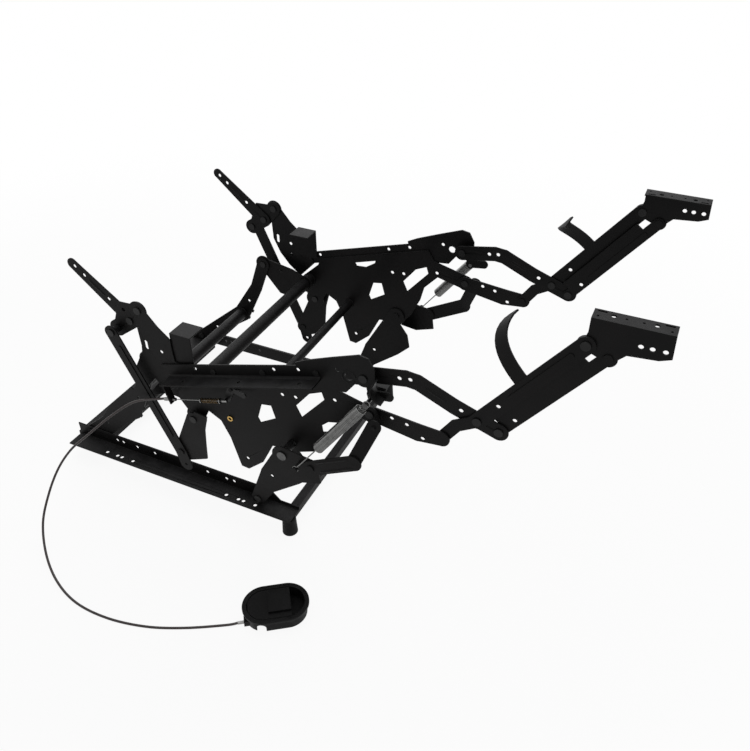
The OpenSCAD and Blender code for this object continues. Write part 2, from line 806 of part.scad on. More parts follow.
module cable_wire() {
    nipple = 6;
    collar = 2;
    collar_r = latch_spring_r + 1;
    color("#9a9b9d") {
        cable_rod(ferrule_rear_u + ferrule_len, wire_end_u, wire_r);
        cable_rod(wire_end_u - nipple, wire_end_u + nipple, 3 * wire_r);
        cable_rod(latch_spring_u[0] - collar - 0.3, latch_spring_u[0] - 0.3, collar_r);
        cable_rod(latch_spring_u[1] + 0.3, latch_spring_u[1] + collar + 0.3, collar_r);
    }
}

module release_latch() {
    arm_end = [wire_end_u, -cable_drop];
    hook_end = latch_pin + [24, -14];
    latch_y = crank_y + layer;
    pin_end = seat_half + cable_out - 3 * wire_r - 0.5;
    color("#4a4a4c") {
        rail_plate(latch_y, plate_t) difference() {
            union() {
                bar(latch_pin, arm_end, 15);
                bar(latch_pin, hook_end, 12);
            }
            disc(latch_pin, hole_r);
        }
        rail_plate(latch_y + plate_t, pin_end - latch_y - plate_t) disc(arm_end, rivet_r - 1);
    }
}

// Handle, drawn along its own long axis down from the bezel's top face
module stadium(len, w) {
    for (end = [-1, 1]) translate([end * (len - w) / 2, 0]) circle(w / 2);
    square([len - w, w], center = true);
}

module at_handle() {
    translate([handle_x, handle_y, handle_top_z]) rotate(handle_turn) children();
}

well_len = handle_len - 2 * handle_rim;
well_w = handle_w - 2 * handle_rim;
hinge_u = -well_len / 2 + 4;
hinge_z = -3;
paddle_end_u = 29;
tub_len = handle_len - 2 * tub_in;
tub_w = handle_w - 2 * tub_in;
tub_h = foot_h + handle_top_z;

module handle_housing() {
    leg = [13, 15];
    notch_r = 9;
    notch_u = -31;
    color("#3d3e40") at_handle() difference() {
        union() {
            translate([0, 0, -tub_h]) linear_extrude(tub_h - bezel_t) stadium(tub_len, tub_w);
            translate([outlet_u, outlet_v - leg[1] / 2, -tub_h])
                cube([leg[0] + tub_in, leg[1], 14]);
        }
        translate([0, 0, tub_wall - tub_h]) linear_extrude(tub_h)
            stadium(tub_len - 2 * tub_wall, tub_w - 2 * tub_wall);
        translate([notch_u, 0, notch_r - tub_h]) rotate([90, 0, 0]) cylinder(h = tub_w, r = notch_r);
        translate([notch_u - notch_r + seam, -tub_w, -tub_h - 1])
            cube([2 * (notch_r - seam), tub_w, notch_r + 1]);
        translate([outlet_u - 1, outlet_v, outlet_z - handle_top_z]) rotate([0, 90, 0])
            cylinder(h = 7 + rivet_fit, r = ferrule_r - 0.4 + rivet_fit);
    }
}

module handle_bezel() {
    pin_half = 24;
    color("#6a6c6f") at_handle() {
        translate([0, 0, -bezel_t]) linear_extrude(bezel_t) difference() {
            stadium(handle_len, handle_w);
            stadium(well_len, well_w);
        }
        translate([hinge_u, pin_half, hinge_z]) rotate([90, 0, 0]) cylinder(h = 2 * pin_half, r = hinge_r);
    }
}

module release_paddle() {
    blade_t = 4;
    blade_z = hinge_z - blade_t / 2;
    pad = [44, 44];
    color("#3d3e40") at_handle() difference() {
        union() {
            translate([0, 0, blade_z]) linear_extrude(blade_t) intersection() {
                stadium(well_len - 2 * paddle_gap, well_w - 2 * paddle_gap);
                translate([hinge_u - 2, -well_w / 2]) square([paddle_end_u - hinge_u + 2, well_w]);
            }
            translate([paddle_end_u - pad[0] / 2, 0, blade_z + blade_t])
                linear_extrude(pad_h - blade_z - blade_t) square(pad, center = true);
        }
        translate([hinge_u, well_w, hinge_z]) rotate([90, 0, 0])
            cylinder(h = 2 * well_w, r = hinge_r + rivet_fit);
    }
}

// Back brackets
module back_arm(side) {
    color("#2b2b2d") on_side(side) plate(arm_y, plate_t) difference() {
        taper(arm_tip, arm_root, arm_w, arm_w + 12);
        for (f = [0.04, 0.2, 0.62]) disc(between(arm_tip, arm_root, f), bolt_r);
        disc(arm_root, hole_r);
    }
}

module back_plate(side) {
    color("#2b2b2d") on_side(side) plate(swing_y, plate_t) difference() {
        union() {
            bar(knee, arm_root, 36);
            bar(arm_root, back_pin, 36);
            polygon([arm_root + [6, -4], back_pin + [-8, 9], arm_root + [-20, 40], knee + [-5, 11]]);
        }
        holes([knee, arm_root, back_pin], hole_r);
        disc(arm_root + [-10, 24], bolt_r);
    }
}

module back_rivets() {
    color("#3a3a3c") both_sides() {
        rivet(arm_root, arm_y, swing_y + plate_t);
        spaced_rivet(knee, swing_y, swing_y + plate_t, back_link_y - head_gap, back_link_y + plate_t);
    }
}

module back_link(side) {
    color("#2b2b2d") on_side(side) {
        plate(back_link_y, plate_t) difference() {
            path([knee, crank_end, crank_tip], back_link_w);
            disc(knee, hole_r);
            disc(crank_tip, bolt_r);
        }
        plate(back_link_y + plate_t / 2, plate_t / 2 + rib_h)
            bar(between(knee, crank_end, 0.12), between(knee, crank_end, 0.85), rib_w);
        pin(crank_end, back_link_y + plate_t / 2, back_link_y + plate_t + head_t, head_r);
    }
}

module bellcrank(side) {
    color("#2b2b2d") on_side(side) {
        plate(crank_y, plate_t) difference() {
            union() {
                bar(crank_pin, crank_end, crank_w);
                polygon([[46, 84], [104, 110], [107, 150], [111, 192], [122, 232], [92, 236], [68, 190],
                    [52, 130]]);
            }
            disc(crank_pin, hole_r);
        }
        pin(crank_end, crank_y - head_t, crank_y + plate_t / 2, head_r);
    }
}

// Footrest linkage
module upper_link(side) {
    color("#2b2b2d") on_side(side) plate(upper_y, plate_t) difference() {
        path(concat([upper_pin], upper_bends, [cross_pin, inner_pin]), upper_w);
        holes([upper_pin, cross_pin, inner_pin], hole_r);
        holes([[536, 447], [556, 450], between(upper_bends[2], cross_pin, 0.3)], bolt_r);
    }
}

module upper_rivets() {
    color("#3a3a3c") both_sides() {
        rivet(cross_pin, upper_y, outer_y + plate_t);
        rivet(inner_pin, inner_y, upper_y + plate_t);
    }
}

module lower_link(side) {
    color("#2b2b2d") on_side(side) plate(swing_y, plate_t) difference() {
        union() {
            taper(lower_pin, lower_bend, lower_w - 6, lower_w);
            taper(lower_bend, elbow, lower_w, lower_w - 8);
        }
        disc(lower_pin, hole_r);
        holes([[526, 360], [555, 355], [586, 334]], bolt_r);
    }
}

flipper_ends = [[752, outer_y + plate_t / 2, 502], [707, seat_half - 84, 588]];
flipper_pulls = [[708, outer_y + plate_t / 2, 545], [672, seat_half - 54, 560]];
flipper_steps = 14;

function flipper_at(f) =
    pow(1 - f, 3) * flipper_ends[0] + 3 * f * pow(1 - f, 2) * flipper_pulls[0]
    + 3 * f * f * (1 - f) * flipper_pulls[1] + pow(f, 3) * flipper_ends[1];

// Curved strip that hangs on the outer link and carries the footrest's flap
module flipper() {
    line = [for (i = [0 : flipper_steps]) flipper_at(i / flipper_steps)];
    t = tangents(line);
    across = [for (d = t) unit([0.64, 0, 0.77] - ([0.64, 0, 0.77] * d) * d)];
    corners = [for (i = [0 : flipper_steps], c = [[-1, -1], [1, -1], [1, 1], [-1, 1]])
        line[i] + c[0] * flipper_w / 2 * across[i] + c[1] * flipper_t / 2 * cross(t[i], across[i])];
    skin = [for (i = [0 : flipper_steps - 1], k = [0 : 3])
        let (a = 4 * i + k, b = 4 * i + (k + 1) % 4)
        each [[a, a + 4, b], [b, a + 4, b + 4]]];
    last = 4 * flipper_steps;
    polyhedron(points = corners, faces = concat(skin, [[0, 1, 2], [0, 2, 3], [last, last + 2, last + 1],
        [last, last + 3, last + 2]]));
}

module outer_link(side) {
    color("#2b2b2d") on_side(side) {
        difference() {
            union() {
                plate(outer_y, plate_t) {
                    path([elbow, tail_bend, cross_pin], ottoman_w - 6);
                    bar(cross_pin, foot_pin, ottoman_w);
                }
                flipper();
            }
            for (p = [cross_pin, foot_pin]) pin(p, outer_y - 1, outer_y + plate_t + 1, hole_r);
            pin(between(cross_pin, foot_pin, 0.22), outer_y - 1, outer_y + plate_t + 1, bolt_r);
        }
        plate(outer_y + plate_t / 2, plate_t / 2 + rib_h)
            bar(between(cross_pin, foot_pin, 0.34), between(cross_pin, foot_pin, 0.88), rib_w);
        pin(elbow, outer_y - head_t, outer_y + plate_t / 2, head_r);
    }
}

module outer_rivets() {
    color("#3a3a3c") both_sides() rivet(foot_pin, upper_y, outer_y + plate_t);
}

module inner_link(side) {
    way = unit(foot_open - inner_pin);
    left = [-way[1], way[0]];
    low = between(inner_pin, foot_open, 0.05);
    high = between(inner_pin, foot_open, 0.88);
    color("#2b2b2d") on_side(side) {
        plate(inner_y, plate_t) difference() {
            union() {
                bar(inner_pin, foot_open, inner_w);
                polygon([low, high, high + inner_reach * left, low + inner_reach * left]);
            }
            disc(inner_pin, hole_r);
            disc(between(inner_pin, foot_open, 0.16), bolt_r);
        }
        plate(inner_y - rib_h, rib_h + plate_t / 2)
            bar(between(inner_pin, foot_open, 0.26), between(inner_pin, foot_open, 0.86), rib_w);
        pin(foot_open, inner_y - head_t, inner_y + plate_t / 2, head_r);
    }
}

module footrest_bracket(side) {
    left_x = 829;
    right_x = left_x + bracket_len;
    mid_x = left_x + bracket_len / 2;
    color("#2b2b2d") on_side(side) difference() {
        union() {
            plate(upper_y, plate_t) {
                polygon([foot_pin + [-9, -6], foot_open + [3, -9], [888, 599], [932, 603],
                    [right_x + 2, 610], [right_x, bracket_top_z], [left_x, bracket_top_z],
                    [left_x, foot_pin_z + 22]]);
                disc(foot_pin, 15);
                disc(foot_open, 14);
            }
            translate([left_x, upper_y + plate_t - bracket_flange_w, bracket_top_z - plate_t])
                cube([bracket_len, bracket_flange_w, plate_t]);
            pin(foot_open, upper_y + plate_t / 2, upper_y + plate_t + head_t, head_r);
        }
        pin(foot_pin, upper_y - 1, upper_y + plate_t + 1, hole_r);
        for (x = [904, 920, 938]) pin([x, 619], upper_y - 1, upper_y + plate_t + 1, bolt_r);
        translate([mid_x, upper_y + plate_t - bracket_flange_w / 2 - 3, bracket_top_z - plate_t - 1])
            linear_extrude(plate_t + 2) for (end = [-1, 1]) {
                disc([end * 30, 0], bolt_r);
                disc([end * 12, 1], bolt_r / 2);
                disc([end * (bracket_len / 2 - 8), 8], bolt_r / 2);
                bar([end * (bracket_len / 2 - 17), -6], [end * (bracket_len / 2 - 7), -6], bolt_r);
            }
    }
}

// Drive
module drive_lever(side) {
    pin_out = seat_half + spring_out + 6;
    color("#2b2b2d") on_side(side) {
        plate(lever_y, plate_t) difference() {
            union() {
                taper(shaft, lever_pin, lever_w, lever_w - 6);
                polygon([shaft + [-12, -16], shaft + [-3, -52], shaft + [37, -57], lever_pin + [19, -35],
                    lever_pin + [15, -4]]);
            }
            disc(shaft, shaft_r + rivet_fit);
        }
        pin(lever_pin, lever_y + plate_t / 2, drive_y + plate_t + head_gap, rivet_r);
        pin(lever_pin, drive_y + plate_t + head_gap, drive_y + plate_t + head_gap + head_t, head_r);
        pin(hook, lever_y + plate_t / 2, pin_out, rivet_r);
        pin(hook, pin_out - head_t, pin_out, head_r - 2);
    }
}

module drive_link(side) {
    way = drive_end - bend;
    drop = drive_y - drive_top_y;
    arm_len = norm([norm(way), drop]);
    top_w = drive_link_w - 6;
    color("#2b2b2d") on_side(side) {
        plate(drive_y, plate_t) difference() {
            bar(lever_pin, bend, drive_link_w);
            disc(lever_pin, hole_r);
        }
        translate([bend[0], drive_y + plate_t / 2, bend[1]]) rotate([0, -atan2(way[1], way[0]), 0])
            rotate([0, 0, -atan2(drop, norm(way))]) plate(-plate_t / 2, plate_t) {
                translate([-1, seam - top_w / 2]) square([arm_len + 1, top_w - 2 * seam]);
                disc([arm_len, 0], top_w / 2);
            }
        pin(drive_end, rail_out_y + layer_gap, drive_top_y + 2 * plate_t, rivet_r);
    }
}

base_rail(LEFT);  // base_rail_left
base_rail(RIGHT);  // base_rail_right
front_cross_tube();
rear_cross_plate();
floor_feet();
base_rivets();
rear_link(LEFT);  // rear_link_left
rear_link(RIGHT);  // rear_link_right
rear_cross_tube();
front_link(LEFT);  // front_link_left
front_link(RIGHT);  // front_link_right
seat_rail(LEFT);  // seat_rail_left
seat_rail(RIGHT);  // seat_rail_right
side_plate(LEFT);  // side_plate_left
side_plate(RIGHT);  // side_plate_right
rear_upright(LEFT);  // rear_upright_left
rear_upright(RIGHT);  // rear_upright_right
box_brackets();
inner_hanger(LEFT);  // inner_hanger_left
inner_hanger(RIGHT);  // inner_hanger_right
seat_cross_tube();
front_seat_tube();
seat_rivets();
seat_studs();
drive_spring(LEFT);  // drive_spring_left
drive_spring(RIGHT);  // drive_spring_right
cable_brackets();
cable_ferrules();
cable_wire();
release_cable();
handle_housing();
handle_bezel();
release_paddle();
release_latch();
latch_spring();
back_arm(LEFT);  // back_arm_left
back_arm(RIGHT);  // back_arm_right
back_plate(LEFT);  // back_plate_left
back_plate(RIGHT);  // back_plate_right
back_rivets();
back_link(LEFT);  // back_link_left
back_link(RIGHT);  // back_link_right
bellcrank(LEFT);  // bellcrank_left
bellcrank(RIGHT);  // bellcrank_right
upper_link(LEFT);  // upper_link_left
upper_link(RIGHT);  // upper_link_right
upper_rivets();
lower_link(LEFT);  // lower_link_left
lower_link(RIGHT);  // lower_link_right
outer_link(LEFT);  // outer_link_left
outer_link(RIGHT);  // outer_link_right
outer_rivets();
inner_link(LEFT);  // inner_link_left
inner_link(RIGHT);  // inner_link_right
footrest_bracket(LEFT);  // footrest_bracket_left
footrest_bracket(RIGHT);  // footrest_bracket_right
drive_lever(LEFT);  // drive_lever_left
drive_lever(RIGHT);  // drive_lever_right
drive_link(LEFT);  // drive_link_left
drive_link(RIGHT);  // drive_link_right
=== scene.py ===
"""Looks of the recliner mechanism: finishes, springs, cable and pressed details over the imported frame."""

import logging
import math
import random
from dataclasses import dataclass
from enum import Enum
from typing import List, Mapping, Optional, Sequence, Tuple, Union

import bpy
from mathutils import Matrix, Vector


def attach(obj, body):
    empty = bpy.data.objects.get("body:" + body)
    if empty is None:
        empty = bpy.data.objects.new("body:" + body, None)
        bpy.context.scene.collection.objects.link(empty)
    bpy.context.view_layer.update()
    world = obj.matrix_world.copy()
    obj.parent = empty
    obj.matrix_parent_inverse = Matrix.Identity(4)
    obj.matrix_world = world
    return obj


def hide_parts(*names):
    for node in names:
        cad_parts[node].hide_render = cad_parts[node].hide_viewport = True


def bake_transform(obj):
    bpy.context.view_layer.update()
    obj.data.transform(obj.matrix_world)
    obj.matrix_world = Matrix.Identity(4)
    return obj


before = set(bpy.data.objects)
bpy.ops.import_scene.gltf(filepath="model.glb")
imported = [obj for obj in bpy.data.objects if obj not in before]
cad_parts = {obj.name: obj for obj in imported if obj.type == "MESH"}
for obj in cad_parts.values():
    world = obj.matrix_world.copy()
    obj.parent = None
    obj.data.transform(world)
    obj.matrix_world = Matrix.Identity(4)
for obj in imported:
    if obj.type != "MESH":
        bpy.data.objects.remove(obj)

Rgb = Tuple[float, float, float]
Point2 = Tuple[float, float]
Point3 = Tuple[float, float, float]
Key = Union[str, int]
Face = Sequence[int]

log = logging.getLogger("recliner_mechanism")
MM = 0.001
FLOOR_Z = -40.5 * MM
WHITE: Rgb = (1.0, 1.0, 1.0)
ALONG_Y = Vector((0, 1, 0))

# Sizes in millimetres that several sub-assemblies share.
PLATE = 3.0
PLATE_EDGE = 0.6
RIVET_EDGE = 0.8
SUNK = 0.3
SEAM_LIFT = 0.6
SEAM_IN = 1.2

# Fineness of edges, wires and grain.
JOIN_WITHIN = 0.01 * MM
SHARP_ANGLE = math.radians(40)
WIRE_SIDES = 8
BUMP_DEPTH = 0.2 * MM


class Side(Enum):
    """The two mirrored halves of the mechanism, by the sign of Y."""

    LEFT = 1
    RIGHT = -1

    @property
    def word(self) -> str:
        """Name of the side as the nodes write it."""
        return self.name.lower()


class Body(Enum):
    """The moving bodies that added pieces ride on."""

    BASE = "base"
    REAR_LINKS = "rear_links"
    SEAT = "seat"
    BACK_BRACKETS = "back_brackets"
    UPPER_LINKS = "upper_links"
    DRIVE_LEVERS = "drive_levers"
    DRIVE_LINKS = "drive_links"


class Wire:
    """A shader value. Python maths on wires adds Math nodes to their bench."""

    def __init__(self, bench: "Bench", socket: bpy.types.NodeSocket) -> None:
        """Keeps the socket and the bench that it belongs to."""
        self.bench = bench
        self.socket = socket

    def _math(self, operation: str, a: "Value", b: "Value") -> "Wire":
        """Adds one Math node.

        Args:
            operation: Name of the Math node's operation.
            a: First value.
            b: Second value.

        Returns:
            The node's result.
        """
        return self.bench.node("ShaderNodeMath", {"operation": operation}, {0: a, 1: b})

    def __add__(self, other: "Value") -> "Wire":
        """This value plus another."""
        return self._math("ADD", self, other)

    def __radd__(self, other: "Value") -> "Wire":
        """Another value plus this one."""
        return self._math("ADD", other, self)

    def __sub__(self, other: "Value") -> "Wire":
        """This value minus another."""
        return self._math("SUBTRACT", self, other)

    def __rsub__(self, other: "Value") -> "Wire":
        """Another value minus this one."""
        return self._math("SUBTRACT", other, self)

    def __mul__(self, other: "Value") -> "Wire":
        """This value times another."""
        return self._math("MULTIPLY", self, other)

    def __rmul__(self, other: "Value") -> "Wire":
        """Another value times this one."""
        return self._math("MULTIPLY", other, self)

    def __pow__(self, other: "Value") -> "Wire":
        """This value to a power."""
        return self._math("POWER", self, other)

    def largest(self, other: "Value") -> "Wire":
        """The larger of this value and another."""
        return self._math("MAXIMUM", self, other)

    def ramp(self, low: float, high: float) -> "Wire":
        """A clamped ramp.

        Args:
            low: Value at which it is 0.
            high: Value at which it is 1.

        Returns:
            The ramp's result.
        """
        settings = {"interpolation_type": "SMOOTHSTEP"}
        sockets = {"Value": self, "From Min": low, "From Max": high}
        return self.bench.node("ShaderNodeMapRange", settings, sockets)


Value = Union[float, Wire]


class Bench:
    """A node tree on which a finish is put together."""

    def __init__(self, tree: bpy.types.NodeTree) -> None:
        """Clears the tree and starts on it."""
        tree.nodes.clear()
        self.tree = tree

    def node(self, kind: str, settings: Optional[Mapping[str, object]] = None,
             sockets: Optional[Mapping[Key, object]] = None, out: Key = 0) -> Wire:
        """Adds one node.

        Args:
            kind: Blender's type name of the node.
            settings: Attributes that are set first.
            sockets: Values or wires for its inputs, by name or number.
            out: Name or number of the output to return.

        Returns:
            The wire of that output.
        """
        made = self.tree.nodes.new(kind)
        for name, setting in (settings or {}).items():
            setattr(made, name, setting)
        for key, value in (sockets or {}).items():
            if isinstance(value, Wire):
                self.tree.links.new(value.socket, made.inputs[key])
            else:
                made.inputs[key].default_value = value
        return Wire(self, made.outputs[out]) if len(made.outputs) else Wire(self, made.inputs[0])

    def place(self) -> Wire:
        """Coordinates of the piece itself, in metres."""
        return self.node("ShaderNodeTexCoord", out="Object")

    def stretched(self, scale: Point3) -> Wire:
        """Coordinates of the piece, scaled apart on the three axes."""
        return self.node("ShaderNodeMapping", None, {"Vector": self.place(), "Scale": scale})

    def noise(self, waves: float, detail: float, roughness: float, where: Optional[Wire] = None) -> Wire:
        """Soft noise.

        Args:
            waves: Waves to a metre.
            detail: Number of finer layers.
            roughness: Strength of the finer layers.
            where: Coordinates, or None for the piece's own.

        Returns:
            The noise value, about 0.3 to 0.7.
        """
        sockets = {"Vector": where or self.place(), "Scale": waves, "Detail": detail, "Roughness": roughness}
        return self.node("ShaderNodeTexNoise", None, sockets)

    def mixed(self, factor: Value, a: Union[Rgb, Wire], b: Union[Rgb, Wire]) -> Wire:
        """A colour between two colours."""
        ends = [end if isinstance(end, Wire) else (*end, 1.0) for end in (a, b)]
        return self.node("ShaderNodeMix", {"data_type": "RGBA"}, {0: factor, 6: ends[0], 7: ends[1]}, 2)

    def bump(self, height: Wire, strength: float) -> Wire:
        """A normal raised by a height."""
        sockets = {"Height": height, "Strength": strength, "Distance": BUMP_DEPTH}
        return self.node("ShaderNodeBump", None, sockets)

    def upward(self) -> Wire:
        """How far the surface faces up, from 0 to 1."""
        normal = self.node("ShaderNodeNewGeometry", out="Normal")
        return self.node("ShaderNodeSeparateXYZ", None, {0: normal}, "Z").largest(0.0)

    def surface(self, sockets: Mapping[Key, object]) -> None:
        """Closes the tree with a Principled shader and the output."""
        shader = self.node("ShaderNodeBsdfPrincipled", None, sockets)
        self.node("ShaderNodeOutputMaterial", None, {"Surface": shader})


@dataclass(frozen=True)
class Mottle:
    """Soft patches on a surface, cut out of noise between a low and a high value of it."""

    waves: float
    detail: float
    roughness: float
    low: float
    high: float

    def on(self, bench: Bench, where: Optional[Wire] = None) -> Wire:
        """The patches as a mask from 0 to 1.

        Args:
            bench: Bench to make them on.
            where: Coordinates, or None for the piece's own.

        Returns:
            The mask.
        """
        return bench.noise(self.waves, self.detail, self.roughness, where).ramp(self.low, self.high)


@dataclass(frozen=True)
class Finish:
    """A surface finish, made once as a material and shared by the pieces that have it."""

    name: str
    slot: str

    def material(self) -> bpy.types.Material:
        """The finish as a material, made at its first use.

        Returns:
            The shared material.
        """
        found = bpy.data.materials.get(self.name)
        if found is None:
            found = bpy.data.materials.new(self.name)
            found.use_nodes = True
            self.lay_on(Bench(found.node_tree))
        return found

    def lay_on(self, bench: Bench) -> None:
        """Puts the finish's nodes on a bench."""
        raise NotImplementedError


@dataclass(frozen=True)
class SatinPaint(Finish):
    """Black paint baked on pressed steel, with faint orange peel, rubbed patches, and settled dust that also
    stands in for a painted sheen lightening the upward faces.
    """

    deep: Rgb = (0.0022, 0.0021, 0.0022)
    rubbed: Rgb = (0.006, 0.0054, 0.0054)
    # Colour of settled dust, also used as painted sheen where faces look up towards the overhead light.
    dust_and_sheen: Rgb = (0.034, 0.034, 0.035)
    roughness: float = 0.4
    gloss: float = 0.1
    clouds: Mottle = Mottle(9.0, 4.0, 0.6, 0.36, 0.66)
    streaks: Mottle = Mottle(60.0, 3.0, 0.6, 0.56, 0.74)
    streak_scale: Point3 = (1.0, 1.0, 5.0)
    specks: Mottle = Mottle(420.0, 2.0, 0.6, 0.6, 0.74)
    film: Mottle = Mottle(26.0, 4.0, 0.65, 0.3, 0.7)
    dust_and_sheen_falloff: float = 3.0
    peel: float = 0.05

    def lay_on(self, bench: Bench) -> None:
        """Lays clouded black, rubbed streaks, and dust with a painted sheen on upward faces, with the paint's
        fine peel as bump.

        Args:
            bench: Bench to lay the nodes on.
        """
        cloud = self.clouds.on(bench)
        streak = self.streaks.on(bench, bench.stretched(self.streak_scale))
        # Upward faces are lightened: partly settled dust, partly painted sheen standing in for the overhead
        # light falling on them.
        dust_and_sheen_mask = (bench.upward() ** self.dust_and_sheen_falloff) * (0.35 + 0.65 * self.film.on(bench))
        base = bench.mixed(0.75 * cloud + 0.5 * streak, self.deep, self.rubbed)
        with_dust_and_sheen = bench.mixed(0.55 * dust_and_sheen_mask + 0.1 * self.specks.on(bench), base, self.dust_and_sheen)
        peel = bench.noise(700.0, 2.0, 0.5) + 0.5 * bench.noise(2600.0, 1.0, 0.5)
        bench.surface({"Base Color": with_dust_and_sheen, "Specular IOR Level": self.gloss,
                       "Roughness": self.roughness + 0.1 * cloud + 0.1 * dust_and_sheen_mask - 0.06 * streak,
                       "Normal": bench.bump(peel, self.peel)})


@dataclass(frozen=True)
class PlatedSteel(Finish):
    """Bright or dull plated metal, with fine drawing lines and small stains."""

    bright: Rgb = (0.24, 0.24, 0.235)
    stained: Rgb = (0.09, 0.09, 0.088)
    roughness: float = 0.22
    stains: Mottle = Mottle(85.0, 4.0, 0.65, 0.46, 0.72)
    line_scale: Point3 = (1.0, 0.25, 1.0)
    line_depth: float = 0.06

    def lay_on(self, bench: Bench) -> None:
        """Lays bright metal with stains, and drawing lines as bump.

        Args:
            bench: Bench to lay the nodes on.
        """
        stain = self.stains.on(bench)
        lines = bench.noise(900.0, 2.0, 0.6, bench.stretched(self.line_scale))
        bench.surface({"Base Color": bench.mixed(0.6 * stain, self.bright, self.stained), "Metallic": 1.0,
                       "Roughness": self.roughness * (0.7 + stain) + 0.1 * lines,
                       "Normal": bench.bump(lines, self.line_depth)})


@dataclass(frozen=True)
class Moulded(Finish):
    """Moulded plastic or rubber, with a spark-eroded grain and a light polish where it is handled."""

    colour: Rgb = (0.012, 0.012, 0.0125)
    pale: Rgb = (0.03, 0.03, 0.031)
    roughness: float = 0.5
    gloss: float = 0.4
    clouds: Mottle = Mottle(24.0, 3.0, 0.6, 0.35, 0.7)
    polish: Mottle = Mottle(46.0, 2.0, 0.5, 0.5, 0.7)
    grain_cells: float = 1500.0
    grain: float = 0.04

    def lay_on(self, bench: Bench) -> None:
        """Lays a faintly clouded colour with grain as bump and polished patches.

        Args:
            bench: Bench to lay the nodes on.
        """
        cloud = self.clouds.on(bench)
        grain = bench.node("ShaderNodeTexVoronoi", None, {"Vector": bench.place(), "Scale": self.grain_cells})
        bench.surface({"Base Color": bench.mixed(0.6 * cloud, self.colour, self.pale),
                       "Roughness": self.roughness + 0.1 * cloud - 0.14 * self.polish.on(bench),
                       "Specular IOR Level": self.gloss, "Normal": bench.bump(grain, self.grain)})


@dataclass(frozen=True)
class Jacket(Finish):
    """Extruded cable jacket, with faint marks across it and a dull sheen."""

    colour: Rgb = (0.012, 0.0055, 0.005)
    pale: Rgb = (0.03, 0.016, 0.0145)
    roughness: float = 0.36
    gloss: float = 0.45
    scuffs: Mottle = Mottle(150.0, 4.0, 0.65, 0.5, 0.72)
    ripple_depth: float = 0.1

    def lay_on(self, bench: Bench) -> None:
        """Lays a brown black with scuffs.

        Args:
            bench: Bench to lay the nodes on.
        """
        scuff = self.scuffs.on(bench)
        ripple = bench.noise(520.0, 2.0, 0.5)
        bench.surface({"Base Color": bench.mixed(scuff, self.colour, self.pale),
                       "Roughness": self.roughness + 0.2 * scuff, "Specular IOR Level": self.gloss,
                       "Normal": bench.bump(ripple, self.ripple_depth)})


class Finishes:
    """The finishes of this mechanism."""

    PAINT = SatinPaint("satin_black_paint", "black_paint")
    RIVET = SatinPaint("painted_rivets", "rivet_steel", deep=(0.004, 0.004, 0.0042),
                       rubbed=(0.016, 0.0155, 0.0155), roughness=0.34, gloss=0.2)
    ZINC = PlatedSteel("zinc_plate", "zinc_steel")
    SPRING = PlatedSteel("bright_wire", "zinc_steel", bright=(0.17, 0.17, 0.167), stained=(0.09, 0.09, 0.088),
                         roughness=0.08)
    STUD = PlatedSteel("dull_steel", "bare_steel", bright=(0.1, 0.1, 0.1), stained=(0.04, 0.039, 0.038),
                       roughness=0.38)
    BUSH = PlatedSteel("brass_bush", "brass_wire", bright=(0.55, 0.36, 0.12), stained=(0.25, 0.16, 0.06))
    BRASS = PlatedSteel("drawn_brass", "brass_wire", bright=(0.1, 0.066, 0.03), stained=(0.04, 0.028, 0.016))
    RUBBER = Moulded("ribbed_rubber", "foot_rubber", colour=(0.003, 0.003, 0.003), pale=(0.009, 0.009, 0.009),
                     roughness=0.62, gloss=0.12)
    HANDLE = Moulded("moulded_handle", "handle_plastic", colour=(0.003, 0.003, 0.0031),
                     pale=(0.007, 0.007, 0.0072), gloss=0.1)
    BEZEL = Moulded("moulded_bezel", "bezel_plastic", colour=(0.003, 0.003, 0.0031),
                    pale=(0.008, 0.008, 0.0082), roughness=0.4, gloss=0.1)
    JACKET = Jacket("extruded_jacket", "cable_jacket")


def on_side(point: Vector, side: Side) -> Vector:
    """A point of the left side, or its mirror image on the right."""
    return Vector((point.x, point.y * side.value, point.z))


def arc(middle: Point2, radius: float, degrees: range) -> List[Point2]:
    """Points of an arc in a plane, one for each angle."""
    turns = [math.radians(a) for a in degrees]
    return [(middle[0] + radius * math.cos(a), middle[1] + radius * math.sin(a)) for a in turns]


def dress(node: str, finish: Finish, edge: float, steps: int = 2) -> None:
    """Gives a carried-over node its finish and softened edges.

    Args:
        node: Name of the node.
        finish: Finish to lay on it.
        edge: Width of the rounded edge, in millimetres.
        steps: Segments across the rounded edge.
    """
    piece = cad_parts[node]
    piece.data.materials.clear()
    piece.data.materials.append(finish.material())
    joined = piece.modifiers.new("joined_edges", "WELD")
    joined.merge_threshold = JOIN_WITHIN
    bevel = piece.modifiers.new("rounded_edges", "BEVEL")
    bevel.width = edge * MM
    bevel.segments = steps
    bevel.limit_method = "ANGLE"
    bevel.angle_limit = SHARP_ANGLE
    bevel.harden_normals = False
    normals = piece.modifiers.new("flat_faces", "WEIGHTED_NORMAL")
    normals.keep_sharp = False
    log.info("dressed %s in %s", node, finish.name)


def paint_pairs(pieces: Sequence[str], edge: float = PLATE_EDGE) -> None:
    """Paints the nodes that stand on both sides.

    Args:
        pieces: Names of the nodes without their side.
        edge: Width of the rounded edge, in millimetres.
    """
    for side in Side:
        for piece in pieces:
            dress(f"{piece}_{side.word}", Finishes.PAINT, edge)


def dress_rivets(node: str) -> None:
    """Paints a group of rivets and rounds their heads."""
    dress(node, Finishes.RIVET, RIVET_EDGE, 3)


